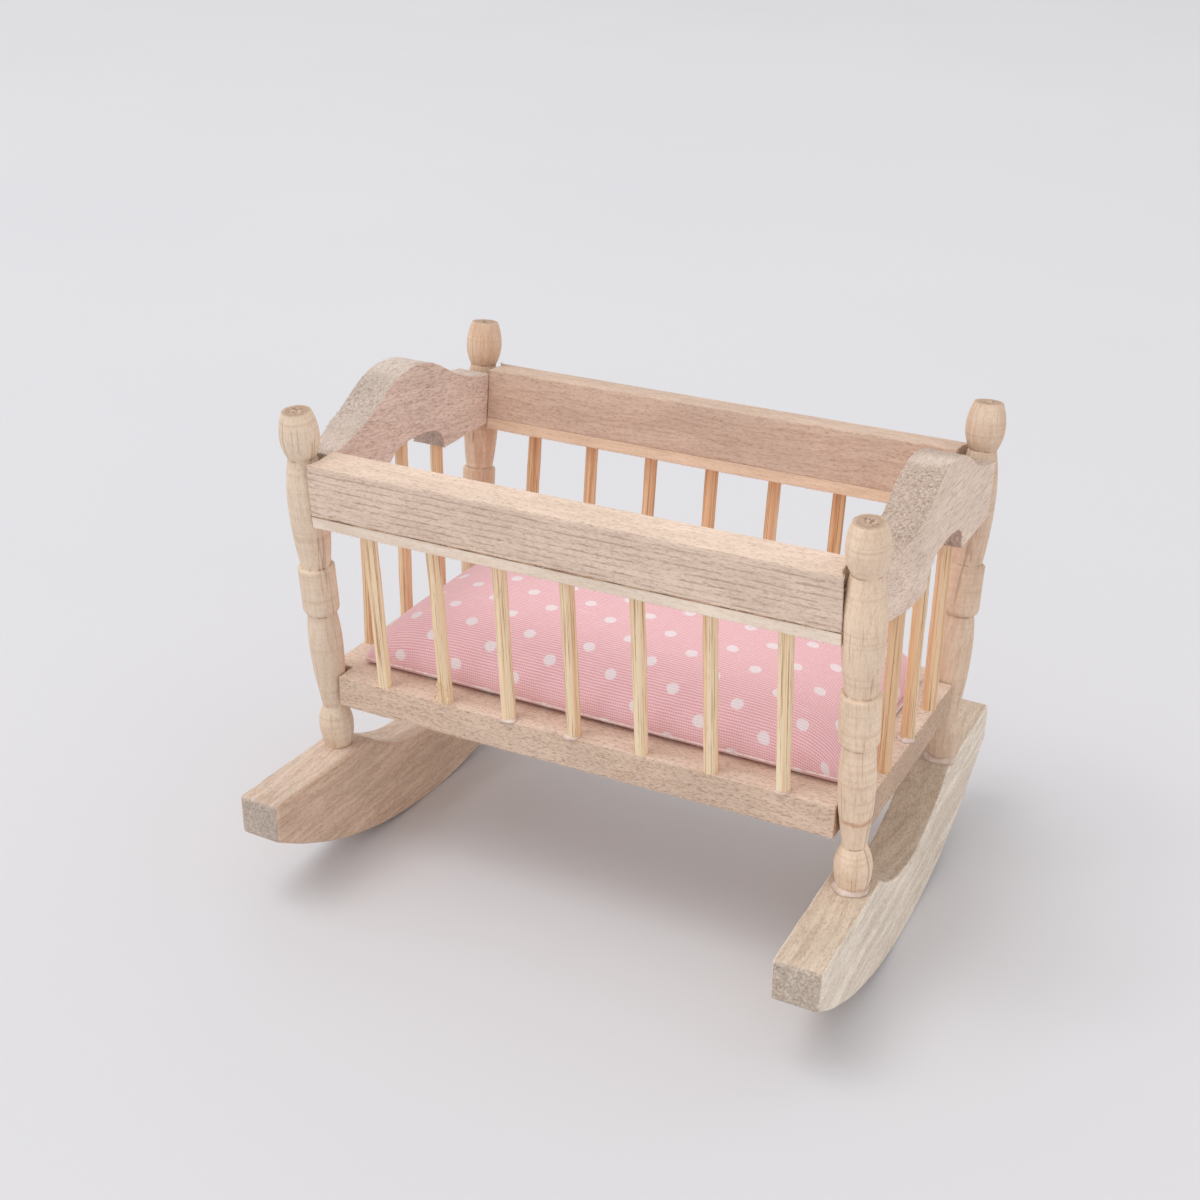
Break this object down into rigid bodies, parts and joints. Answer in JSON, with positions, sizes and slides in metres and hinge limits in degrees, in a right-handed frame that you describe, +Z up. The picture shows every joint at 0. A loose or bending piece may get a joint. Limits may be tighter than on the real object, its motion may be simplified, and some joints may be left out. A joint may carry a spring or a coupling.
{
  "type": "rocking cradle",
  "caption": "Small wooden rocking cradle with turned posts, bamboo spindles, humped end boards, curved rockers and a loose dotted cotton mattress.",
  "frame": {"origin": "middle of the cradle on the floor, under the lowest line of the rockers", "axes": "+X along the cradle towards its right end, -Y towards the viewer, +Z up"},
  "size_m": [0.089, 0.0796, 0.0723],
  "materials": {
    "rocker_wood": "sanded, bare",
    "turned_birch": "turned, bare",
    "rail_wood": "sawn, bare",
    "strip_wood": "sawn, bare",
    "end_board_wood": "sawn, bare",
    "base_wood": "sanded, bare",
    "bamboo": "drawn rod, bare",
    "dotted_cotton": "woven cotton with printed off-white dots",
    "wadding": "loose fibre"
  },
  "bodies": {
    "frame": {"rocker_left": "rocker_wood", "end_board_left": "end_board_wood", "spindle_left_1": "bamboo", "spindle_left_2": "bamboo", "spindle_left_3": "bamboo", "rocker_right": "rocker_wood", "end_board_right": "end_board_wood", "spindle_right_1": "bamboo", "spindle_right_2": "bamboo", "spindle_right_3": "bamboo", "side_rail_front": "rail_wood", "rail_strip_front": "strip_wood", "post_front_left": "turned_birch", "post_front_right": "turned_birch", "spindle_front_1": "bamboo", "spindle_front_2": "bamboo", "spindle_front_3": "bamboo", "spindle_front_4": "bamboo", "spindle_front_5": "bamboo", "spindle_front_6": "bamboo", "spindle_front_7": "bamboo", "side_rail_back": "rail_wood", "rail_strip_back": "strip_wood", "post_back_left": "turned_birch", "post_back_right": "turned_birch", "spindle_back_1": "bamboo", "spindle_back_2": "bamboo", "spindle_back_3": "bamboo", "spindle_back_4": "bamboo", "spindle_back_5": "bamboo", "spindle_back_6": "bamboo", "spindle_back_7": "bamboo", "base_board": "base_wood"},
    "mattress": {"mattress_cover": "dotted_cotton", "mattress_filling": "wadding"}
  },
  "joints": [
    {"name": "mattress_lift", "type": "slide", "parent": "frame", "child": "mattress", "axis": [0, 0, 1], "range_m": [0, 0.06]}
  ]
}
